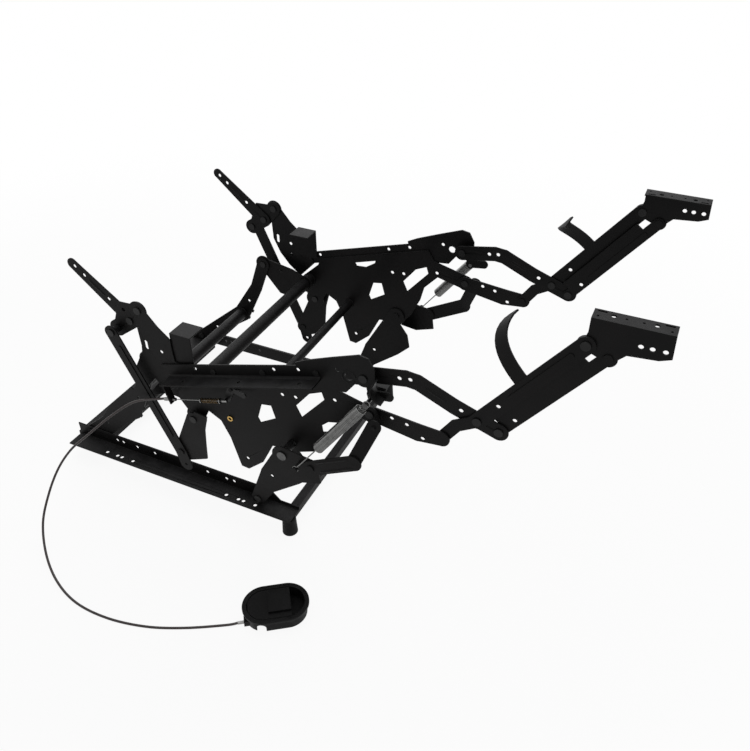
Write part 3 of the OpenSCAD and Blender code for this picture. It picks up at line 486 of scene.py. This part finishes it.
def add_mesh(name: str, points: Sequence[Vector], faces: Sequence[Face], finish: Finish) -> bpy.types.Object:
    """Makes a smooth mesh piece.

    Args:
        name: Name of the piece.
        points: Corners in metres.
        faces: Corner numbers of each face.
        finish: Finish to lay on it.

    Returns:
        The new object.
    """
    mesh = bpy.data.meshes.new(name)
    mesh.from_pydata([tuple(p) for p in points], [], [tuple(f) for f in faces])
    mesh.polygons.foreach_set("use_smooth", [True] * len(mesh.polygons))
    mesh.materials.append(finish.material())
    piece = bpy.data.objects.new(name, mesh)
    bpy.context.scene.collection.objects.link(piece)
    log.info("made %s", name)
    return piece


def skin(rings: int, count: int, inside_out: bool = False) -> List[Face]:
    """Faces of a closed skin over rings of points, with a cap at each end.

    Args:
        rings: Number of rings.
        count: Points in one ring.
        inside_out: Turns every face round.

    Returns:
        Corner numbers of each face.
    """
    last = rings - 1
    faces: List[Face] = [
        (i * count + k, i * count + (k + 1) % count, (i + 1) * count + (k + 1) % count, (i + 1) * count + k)
        for i in range(last) for k in range(count)]
    faces += [tuple(reversed(range(count))), tuple(range(last * count, rings * count))]
    return [tuple(reversed(f)) for f in faces] if inside_out else faces


def smooth_line(points: Sequence[Vector], steps: int) -> List[Vector]:
    """A smooth curve through points.

    Args:
        points: Points to pass through.
        steps: Points made for each stretch.

    Returns:
        The denser line.
    """
    line: List[Vector] = []
    last = len(points) - 1
    for i in range(last):
        a, b, c, d = points[max(i - 1, 0)], points[i], points[i + 1], points[min(i + 2, last)]
        for k in range(steps):
            f = k / steps
            line.append(0.5 * (2 * b + f * (c - a) + f * f * (2 * a - 5 * b + 4 * c - d)
                               + f ** 3 * (3 * b - a - 3 * c + d)))
    return line + [points[last].copy()]


def headings(line: Sequence[Vector]) -> List[Vector]:
    """Direction of a line at each of its points."""
    last = len(line) - 1
    return [(line[min(i + 1, last)] - line[max(i - 1, 0)]).normalized() for i in range(last + 1)]


def tube(name: str, line: Sequence[Vector], radii: Sequence[float], finish: Finish,
         sides: int = WIRE_SIDES) -> bpy.types.Object:
    """Makes a closed round tube along a line.

    Args:
        name: Name of the piece.
        line: Centre line in metres.
        radii: Radius at each point, in metres.
        finish: Finish to lay on it.
        sides: Corners of one ring.

    Returns:
        The new object.
    """
    ways = headings(line)
    normal = ways[0].orthogonal().normalized()
    points: List[Vector] = []
    for centre, way, radius in zip(line, ways, radii):
        normal = (normal - normal.dot(way) * way).normalized()
        across = way.cross(normal)
        for k in range(sides):
            turn = 2 * math.pi * k / sides
            points.append(centre + radius * (math.cos(turn) * normal + math.sin(turn) * across))
    return add_mesh(name, points, skin(len(line), sides), finish)


@dataclass(frozen=True)
class Ridge:
    """A rounded ridge pressed into a link's face, in millimetres, with tapered ends."""

    width: float
    height: float
    across: int = 6
    steps: int = 6
    tip: float = 0.4
    taper: float = 3.0

    def press(self, name: str, course: Sequence[Point2], face: float, out: int, side: Side,
              body: Body) -> None:
        """Presses the ridge along a course.

        Args:
            name: Name of the piece, to which the side is added.
            course: Middle line of the ridge in X and Z, in millimetres.
            face: Y of the face on the left side, in millimetres.
            out: 1 where the ridge stands outwards, -1 inwards.
            side: Side of the mechanism.
            body: Body that it rides on.
        """
        line = smooth_line([Vector((x, 0.0, z)) for x, z in course], self.steps)
        last = len(line) - 1
        points: List[Vector] = []
        for i, (middle, way) in enumerate(zip(line, headings(line))):
            left = Vector((-way.z, 0.0, way.x))
            end = min(1.0, (i + self.tip) / self.taper, (last - i + self.tip) / self.taper)
            half = 0.5 * self.width * end ** 0.5
            for k in range(self.across + 1):
                s = 2 * k / self.across - 1
                rise = self.height * end * math.cos(0.5 * math.pi * s)
                points.append(middle + half * s * left + Vector((0.0, face + out * rise, 0.0)))
            for s in (1, -1):
                points.append(middle + half * s * left + Vector((0.0, face - out * SUNK, 0.0)))
        faces = skin(last + 1, self.across + 3, out * side.value < 0)
        points = [on_side(p, side) * MM for p in points]
        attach(add_mesh(f"{name}_{side.word}", points, faces, Finishes.PAINT), body.value)


@dataclass(frozen=True)
class WeldBead:
    """A rippled bead of weld, in millimetres, with thin ends."""

    radius: float
    steps: int = 4
    taper: int = 3

    def lay(self, name: str, course: Sequence[Vector], body: Body, seed: int) -> None:
        """Lays the bead along a course.

        Args:
            name: Name of the piece.
            course: Points of the seam in metres.
            body: Body that it rides on.
            seed: Seed of the small differences between ripples.
        """
        luck = random.Random(seed)
        line = smooth_line(course, self.steps)
        last = len(line) - 1
        radii: List[float] = []
        for i in range(last + 1):
            ripple = 0.82 + 0.18 * math.cos(math.pi * i) + 0.1 * luck.random()
            radii.append(self.radius * MM * ripple * min(1.0, (min(i, last - i) + 1) / self.taper))
        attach(tube(name, line, radii, Finishes.PAINT), body.value)


def round_seam(middle: Point2, radius: float, end: float, side: Side) -> List[Vector]:
    """Seam round most of a cross tube, where it meets a plate.

    Args:
        middle: X and Z of the tube in millimetres.
        radius: Radius of the tube in millimetres.
        end: Y of the tube's end on the left side, in millimetres.
        side: Side of the mechanism.

    Returns:
        Points of the seam in metres.
    """
    y = side.value * (end - SEAM_IN)
    return [Vector((x, y, z)) * MM for x, z in arc(middle, radius + SEAM_LIFT, range(-60, 241, 20))]


@dataclass(frozen=True)
class SeatRailLine:
    """Places along the tilted seat rail, in millimetres along it and above its lower rear corner."""

    corner: Point2 = (30.0, 300.0)
    tilt: float = 16.6
    seat_half: float = 259.0
    cable_out: float = 25.0
    cable_drop: float = 39.0

    def at(self, u: float, v: float, y: float) -> Vector:
        """A point in metres from places along and above the rail and from Y."""
        c, s = math.cos(math.radians(self.tilt)), math.sin(math.radians(self.tilt))
        return Vector((self.corner[0] + u * c - v * s, y, self.corner[1] + u * s + v * c)) * MM

    def on_cable(self, u: float) -> Vector:
        """A point of the cable line under the right rail."""
        return self.at(u, -self.cable_drop, -(self.seat_half + self.cable_out))


@dataclass(frozen=True)
class HandlePlace:
    """Place and turn of the release handle, in millimetres and degrees."""

    middle: Point2 = (372.0, -454.6)
    turn: float = 35.0

    def at(self, u: float, v: float, z: float) -> Vector:
        """A point in metres from places along and across the handle and from Z."""
        c, s = math.cos(math.radians(self.turn)), math.sin(math.radians(self.turn))
        return Vector((self.middle[0] + u * c - v * s, self.middle[1] + u * s + v * c, z)) * MM


@dataclass(frozen=True)
class Softbox:
    """A rectangular lamp: its place, the point that it faces and its size in metres, and its watts."""

    name: str
    place: Point3
    aim: Point3
    size: Point2
    power: float

    def hang(self) -> None:
        """Hangs the lamp in the scene."""
        data = bpy.data.lights.new(self.name, "AREA")
        data.shape = "RECTANGLE"
        data.size, data.size_y = self.size
        data.energy = self.power
        lamp = bpy.data.objects.new(self.name, data)
        lamp.location = self.place
        lamp.rotation_euler = (Vector(self.aim) - Vector(self.place)).to_track_quat("-Z", "Y").to_euler()
        bpy.context.scene.collection.objects.link(lamp)


@dataclass
class Studio:
    """Camera, lamps, floor and backdrop, in metres and degrees."""

    camera_place: Point3 = (0.9357, -1.2064, 1.233)
    azimuth: float = 24.85
    elevation: float = 36.91
    roll: float = 0.1
    lens: float = 36.51
    sensor_width: float = 36.0
    view_end: float = 60.0
    softboxes: Tuple[Softbox, ...] = (
        Softbox("overhead_softbox", (0.1, 0.5, 2.7), (0.25, 0.0, 0.3), (2.6, 2.6), 30.0),
        Softbox("rear_softbox", (-0.9, 2.6, 2.2), (0.3, 0.0, 0.35), (2.4, 1.5), 30.0),
        Softbox("front_fill", (2.4, -2.2, 1.9), (0.3, 0.0, 0.3), (2.0, 2.0), 9.0))
    ambient: Rgb = (0.3, 0.3, 0.3)
    floor_half: float = 14.0
    floor_colour: Rgb = (0.92, 0.92, 0.92)
    shadow: float = 0.08
    clear_from: float = 0.9
    clear_to: float = 2.2

    def build(self) -> None:
        """Sets up the camera, the lamps, the world and the floor."""
        bpy.context.scene.view_settings.view_transform = "Standard"
        self.set_camera()
        for softbox in self.softboxes:
            softbox.hang()
        self.set_world()
        self.lay_floor()

    def set_camera(self) -> None:
        """Puts the camera at the photograph's place."""
        data = bpy.data.cameras.new("photo_camera")
        data.lens = self.lens
        data.sensor_width = self.sensor_width
        data.clip_end = self.view_end
        camera = bpy.data.objects.new("photo_camera", data)
        camera.location = self.camera_place
        camera.rotation_euler = [math.radians(a) for a in (90 - self.elevation, self.roll, self.azimuth)]
        bpy.context.scene.collection.objects.link(camera)
        bpy.context.scene.camera = camera

    def seen_directly(self, bench: Bench) -> Wire:
        """Tells rays that come from the camera, a mirror or a glass from the others.

        Args:
            bench: Bench to make the test on.

        Returns:
            1 for those rays, otherwise 0.
        """
        camera = bench.node("ShaderNodeLightPath", out="Is Camera Ray")
        glossy = bench.node("ShaderNodeLightPath", out="Is Glossy Ray")
        through = bench.node("ShaderNodeLightPath", out="Is Transmission Ray")
        return camera.largest(glossy).largest(through)

    def set_world(self) -> None:
        """White where it is seen, plain soft light elsewhere."""
        world = bpy.data.worlds.new("white_room")
        world.use_nodes = True
        bpy.context.scene.world = world
        bench = Bench(world.node_tree)
        colour = bench.mixed(self.seen_directly(bench), self.ambient, WHITE)
        background = bench.node("ShaderNodeBackground", None, {"Color": colour, "Strength": 1.0})
        bench.node("ShaderNodeOutputWorld", None, {"Surface": background})

    def lay_floor(self) -> None:
        """Lays a white floor that keeps a faint shadow."""
        h = self.floor_half
        mesh = bpy.data.meshes.new("studio_floor")
        corners = [(-h, -h, FLOOR_Z), (h, -h, FLOOR_Z), (h, h, FLOOR_Z), (-h, h, FLOOR_Z)]
        mesh.from_pydata(corners, [], [(0, 1, 2, 3)])
        material = bpy.data.materials.new("white_floor")
        material.use_nodes = True
        bench = Bench(material.node_tree)
        matt = bench.node("ShaderNodeBsdfDiffuse", None, {"Color": (*self.floor_colour, 1.0)})
        glow = bench.node("ShaderNodeEmission", None, {"Color": (*WHITE, 1.0), "Strength": 1.0})
        reach = bench.node("ShaderNodeVectorMath", {"operation": "LENGTH"}, {0: bench.place()}, "Value")
        kept = self.shadow * (1.0 - reach.ramp(self.clear_from, self.clear_to))
        factor = (1.0 - kept) * self.seen_directly(bench)
        surface = bench.node("ShaderNodeMixShader", None, {0: factor, 1: matt, 2: glow})
        bench.node("ShaderNodeOutputMaterial", None, {"Surface": surface})
        mesh.materials.append(material)
        floor = bpy.data.objects.new("studio_floor", mesh)
        bpy.context.scene.collection.objects.link(floor)


@dataclass
class ReleaseCable:
    """The cable from the seat rail's bracket down to the floor and round to the handle."""

    rail: SeatRailLine
    handle: HandlePlace
    radius: float = 2.5
    leaves_rail: Tuple[float, ...] = (-8.3, -20.0)
    free_route: Tuple[Point3, ...] = (
        (-45, -292, 232), (-90, -320, 200), (-135, -360, 158), (-170, -382, 122), (-195, -408, 78),
        (-200, -446, 34), (-178, -496, 4), (-130, -545, -20), (-70, -582, -34), (0, -604, -38),
        (80, -606, -38), (160, -590, -38), (230, -561, -38))
    meets_handle: Tuple[Point3, ...] = ((-100.0, -14.0, -37.0), (-76.3, -14.0, -36.0))
    steps: int = 8
    round_steps: int = 5

    def line(self) -> List[Vector]:
        """Works out the cable's route.

        Returns:
            Centre line of the cable in metres.
        """
        start = [self.rail.on_cable(u) for u in self.leaves_rail]
        middle = [Vector(p) * MM for p in self.free_route]
        stop = [self.handle.at(*p) for p in self.meets_handle]
        return smooth_line(start + middle + stop, self.steps)

    def build(self) -> None:
        line = self.line()
        data = bpy.data.curves.new("release_cable_jacket", "CURVE")
        data.dimensions = "3D"
        spline = data.splines.new("POLY")
        spline.points.add(len(line) - 1)
        for knot, p in zip(spline.points, line):
            knot.co = (p.x, p.y, p.z, 1.0)
        data.bevel_depth = self.radius * MM
        data.bevel_resolution = self.round_steps
        data.use_fill_caps = True
        data.materials.append(Finishes.JACKET.material())
        cable = bpy.data.objects.new("release_cable_jacket", data)
        bpy.context.scene.collection.objects.link(cable)
        length = sum((b - a).length for a, b in zip(line, line[1:]))
        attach(cable, Body.SEAT.value)
        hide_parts("release_cable")
        log.info("laid release_cable_jacket, %.3f m", length)


@dataclass(frozen=True)
class CoilSpring:
    """A spring between two points, in millimetres: its coil, its wire's radius and its straight tails."""

    radius: float
    wire: float
    curls: int
    tails: Point2
    end_radius: float = 0.0
    steps: int = 16

    def line(self, start: Vector, stop: Vector) -> List[Vector]:
        """Centre line of the wire.

        Args:
            start: Upper end in metres.
            stop: Lower end in metres.

        Returns:
            Points in metres.
        """
        axis = (stop - start).normalized()
        u = axis.cross(ALONG_Y).normalized()
        v = axis.cross(u)
        off = self.end_radius * MM * u
        body = (stop - start).length - sum(self.tails) * MM
        count = self.steps * self.curls
        line = [start + off, start + 0.5 * self.tails[0] * MM * axis + off]
        for i in range(count + 1):
            turn = 2 * math.pi * i / self.steps
            ease = min(1.0, i / self.steps, (count - i) / self.steps)
            r = (self.end_radius + (self.radius - self.end_radius) * ease) * MM
            line.append(start + (self.tails[0] * MM + body * i / count) * axis
                        + r * (math.cos(turn) * u + math.sin(turn) * v))
        return line + [stop - 0.5 * self.tails[1] * MM * axis + off, stop + off]

    def wound(self, name: str, line: Sequence[Vector], finish: Finish) -> bpy.types.Object:
        """The spring's wire as a piece along a line."""
        return tube(name, line, [self.wire * MM] * len(line), finish)


@dataclass
class DriveSprings:
    """The two bright springs between the seat's studs and the drive levers."""

    top: Point3 = (491.0, 285.0, 402.0)
    low: Point3 = (355.0, 317.0, 222.0)
    clear: float = 4.35
    hook_radius: float = 5.5
    coil: CoilSpring = CoilSpring(10.0, 1.3, 46, (8.0, 70.0))

    def build(self) -> None:
        """Winds both springs, each with a hook round its stud."""
        for side in Side:
            top, low = (on_side(Vector(p) * MM, side) for p in (self.top, self.low))
            axis = (low - top).normalized()
            line = self.coil.line(top + self.clear * MM * axis, low - self.clear * MM * axis)
            line = self.hook(top, axis, 1) + line + self.hook(low, -axis, -1)[::-1]
            spring = self.coil.wound(f"bright_spring_{side.word}", line, Finishes.SPRING)
            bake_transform(spring)
            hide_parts(f"drive_spring_{side.word}")

    def hook(self, middle: Vector, way: Vector, turn: int) -> List[Vector]:
        """Open loop of wire round a stud, ending where the straight wire starts.

        Args:
            middle: Middle of the stud.
            way: Direction from the stud to the spring.
            turn: Sense of the loop.

        Returns:
            Points of the loop.
        """
        side = ALONG_Y.cross(way).normalized() * turn
        turns = [math.radians(a) for a in range(300, 30, -15)]
        return [middle + self.hook_radius * MM * (math.cos(a) * way + math.sin(a) * side) for a in turns]


@dataclass
class BaseFrame:
    """Rails, cross members and feet that stand on the floor, in millimetres."""

    edge: float = 0.7
    foot_edge: float = 4.0
    tube_half: float = 10.0
    tube_middle: float = 283.0
    rail_inner: float = 229.0
    seam_z: float = -0.6
    seam_stations: Tuple[float, ...] = (0.0, 4.0, 8.0, 11.0)
    bead: WeldBead = WeldBead(1.8)
    first_seed: int = 11

    def build(self) -> None:
        """Welds the front cross tube to the rails' undersides."""
        for side in Side:
            for name, shift in (("front", self.tube_half), ("rear", -self.tube_half)):
                x = self.tube_middle + shift
                stations = [side.value * (self.rail_inner + v) for v in self.seam_stations]
                seam = [Vector((x, y, self.seam_z)) * MM for y in stations]
                seed = self.first_seed + side.value
                self.bead.lay(f"front_tube_weld_{name}_{side.word}", seam, Body.BASE, seed)

    def dress(self) -> None:
        """Paints the frame and gives the feet rubber."""
        paint_pairs(("base_rail",), self.edge)
        for node in ("front_cross_tube", "rear_cross_plate"):
            dress(node, Finishes.PAINT, self.edge)
        dress("floor_feet", Finishes.RUBBER, self.foot_edge, 4)
        dress_rivets("base_rivets")


@dataclass
class ReclineLinks:
    """Rear and front links with the tube between the rear ones, in millimetres."""

    tube_middle: Point2 = (-124.0, 134.0)
    tube_radius: float = 15.0
    tube_end: float = 225.4
    bead: WeldBead = WeldBead(2.0)
    first_seed: int = 3

    def build(self) -> None:
        """Welds the tube to the rear links."""
        for side in Side:
            seam = round_seam(self.tube_middle, self.tube_radius, self.tube_end, side)
            self.bead.lay(f"rear_tube_weld_{side.word}", seam, Body.REAR_LINKS, self.first_seed + side.value)

    def dress(self) -> None:
        """Paints the links and the tube."""
        paint_pairs(("rear_link", "front_link"))
        dress("rear_cross_tube", Finishes.PAINT, PLATE_EDGE)


@dataclass
class SeatFrame:
    """Seat rails, side plates, uprights, brackets, tubes and studs, in millimetres."""

    rail: SeatRailLine
    rail_face: float = 262.0
    flange_ends: Point2 = (8.0, 376.0)
    bend_radius: float = 4.0
    tube_middles: Tuple[Point2, ...] = ((74.0, 270.0), (186.0, 228.0))
    tube_radii: Tuple[float, ...] = (15.0, 10.0)
    tube_end: float = 256.0
    bead: WeldBead = WeldBead(1.8)
    seed_step: int = 7
    front_hole: Point2 = (446.0, 432.0)
    hole_ring: float = 13.0
    ring_ridge: Ridge = Ridge(4.0, 1.2)
    bush_middle: Point2 = (173.0, 239.0)
    bush_y: float = -260.5
    bush_radius: float = 5.0
    bush_wire: float = 1.8
    bush_sides: int = 10

    def build(self) -> None:
        """Rounds the rails' bends, welds the tubes, rings the front holes and sets the brass bush."""
        for side in Side:
            self.round_bend(side)
            for number, (middle, radius) in enumerate(zip(self.tube_middles, self.tube_radii)):
                seam = round_seam(middle, radius, self.tube_end, side)
                seed = self.seed_step * number + side.value
                self.bead.lay(f"seat_tube_weld_{number}_{side.word}", seam, Body.SEAT, seed)
            ring = arc(self.front_hole, self.hole_ring, range(0, 360, 24))
            self.ring_ridge.press("front_hole_ring", ring, self.rail_face, 1, side, Body.SEAT)
        loop = arc(self.bush_middle, self.bush_radius, range(0, 361, 15))
        loop = [Vector((x, self.bush_y, z)) * MM for x, z in loop]
        radii = [self.bush_wire * MM] * len(loop)
        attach(tube("brass_bush", loop, radii, Finishes.BUSH, self.bush_sides), Body.SEAT.value)

    def round_bend(self, side: Side) -> None:
        """Fills the corner of a seat rail's web and flange with the hollow radius of its bend.

        Args:
            side: Side of the mechanism.
        """
        middle = (self.rail_face + self.bend_radius, PLATE + self.bend_radius)
        ring = arc(middle, self.bend_radius, range(180, 271, 15))
        hollow = len(ring) - 1
        inside, below = self.rail_face - SUNK, PLATE - SUNK
        ring += [(middle[0], below), (inside, below), (inside, middle[1])]
        points = [on_side(self.rail.at(u, v, y), side) for u in self.flange_ends for y, v in ring]
        faces = skin(len(self.flange_ends), len(ring), side is Side.LEFT)
        piece = add_mesh(f"rail_bend_{side.word}", points, faces, Finishes.PAINT)
        for face in piece.data.polygons:
            face.use_smooth = face.index < hollow
        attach(piece, Body.SEAT.value)

    def dress(self) -> None:
        """Paints the seat's steel and plates its studs."""
        paint_pairs(("seat_rail", "side_plate", "rear_upright", "inner_hanger"))
        for node in ("box_brackets", "seat_cross_tube", "front_seat_tube"):
            dress(node, Finishes.PAINT, PLATE_EDGE)
        dress_rivets("seat_rivets")
        dress("seat_studs", Finishes.STUD, PLATE_EDGE)


@dataclass
class BackBrackets:
    """Back arms and plates with the links that fold them, in millimetres."""

    arm_tip: Point2 = (-163.0, 511.0)
    arm_root: Point2 = (-43.0, 412.0)
    arm_face: float = 249.4
    ridge: Ridge = Ridge(7.0, 1.4)
    ridge_stations: Tuple[float, ...] = (0.27, 0.37, 0.47, 0.56)

    def build(self) -> None:
        """Presses a ridge along each back arm, on both of its faces."""
        tip, root = Vector(self.arm_tip), Vector(self.arm_root)
        course = [tuple(tip.lerp(root, f)) for f in self.ridge_stations]
        for side in Side:
            self.ridge.press("arm_ridge", course, self.arm_face, -1, side, Body.BACK_BRACKETS)
            self.ridge.press("arm_outer_ridge", course, self.arm_face + PLATE, 1, side, Body.BACK_BRACKETS)

    def dress(self) -> None:
        """Paints the back brackets, back links and bellcranks."""
        paint_pairs(("back_arm", "back_plate", "back_link", "bellcrank"))
        dress_rivets("back_rivets")


@dataclass
class FootrestLinkage:
    """Ottoman links, flipper strips and footrest brackets, in millimetres."""

    upper_course: Tuple[Point2, ...] = ((586.0, 441.5), (604.0, 433.5), (622.0, 425.5))
    upper_face: float = 245.2
    ridge: Ridge = Ridge(8.0, 1.3)

    def build(self) -> None:
        """Presses a ridge into each upper link, on both of its faces."""
        inner, outer = self.upper_face, self.upper_face + PLATE
        for side in Side:
            self.ridge.press("upper_ridge", self.upper_course, outer, 1, side, Body.UPPER_LINKS)
            self.ridge.press("upper_inner_ridge", self.upper_course, inner, -1, side, Body.UPPER_LINKS)

    def dress(self) -> None:
        """Paints the ottoman links and brackets."""
        paint_pairs(("upper_link", "lower_link", "outer_link", "inner_link", "footrest_bracket"))
        dress_rivets("upper_rivets")
        dress_rivets("outer_rivets")


@dataclass
class Drive:
    """Drive levers and bent drive links, in millimetres."""

    pin: Point2 = (379.0, 219.0)
    bend: Point2 = (470.0, 268.0)
    face: float = 302.6
    ridge: Ridge = Ridge(6.0, 1.4)
    ridge_shift: float = 11.0
    ridge_stations: Tuple[float, ...] = (18.0, 45.0, 72.0, 98.0)

    def build(self) -> None:
        """Presses two ridges along each drive link."""
        start, stop = Vector(self.pin), Vector(self.bend)
        way = (stop - start).normalized()
        left = Vector((-way.y, way.x))
        for side in Side:
            for name, shift in (("upper", self.ridge_shift), ("lower", -self.ridge_shift)):
                course = [tuple(start + u * way + shift * left) for u in self.ridge_stations]
                self.ridge.press(f"drive_ridge_{name}", course, self.face, 1, side, Body.DRIVE_LINKS)

    def dress(self) -> None:
        """Paints the levers and links."""
        paint_pairs(("drive_lever", "drive_link"))


@dataclass
class Release:
    """Latch, wire, latch spring and handle, in millimetres."""

    rail: SeatRailLine
    spring_span: Point2 = (92.0, 138.0)
    coil: CoilSpring = CoilSpring(4.5, 0.7, 10, (3.0, 3.0), 4.5)
    edge: float = 0.5
    wire_edge: float = 0.2
    housing_edge: float = 1.2
    bezel_edge: float = 2.0
    paddle_edge: float = 1.0

    def build(self) -> None:
        """Winds the brass latch spring."""
        line = self.coil.line(*(self.rail.on_cable(u) for u in self.spring_span))
        spring = self.coil.wound("brass_spring", line, Finishes.BRASS)
        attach(spring, Body.SEAT.value)
        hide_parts("latch_spring")

    def dress(self) -> None:
        """Finishes the latch, the wire, the ferrules and the handle."""
        dress("cable_brackets", Finishes.PAINT, self.edge)
        dress("release_latch", Finishes.RIVET, self.edge)
        dress("cable_ferrules", Finishes.ZINC, self.edge)
        dress("cable_wire", Finishes.ZINC, self.wire_edge)
        dress("handle_housing", Finishes.HANDLE, self.housing_edge, 3)
        dress("handle_bezel", Finishes.BEZEL, self.bezel_edge, 4)
        dress("release_paddle", Finishes.HANDLE, self.paddle_edge, 3)


def main() -> None:
    """Builds the scene in order: studio, cable, springs, then each sub-assembly."""
    logging.basicConfig(level=logging.INFO, format="%(name)s: %(message)s")
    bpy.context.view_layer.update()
    rail = SeatRailLine()
    Studio().build()
    ReleaseCable(rail, HandlePlace()).build()
    DriveSprings().build()
    parts = (BaseFrame(), ReclineLinks(), SeatFrame(rail), BackBrackets(), FootrestLinkage(), Drive(),
             Release(rail))
    for part in parts:
        part.build()
        part.dress()


if __name__ == "__main__":
    main()
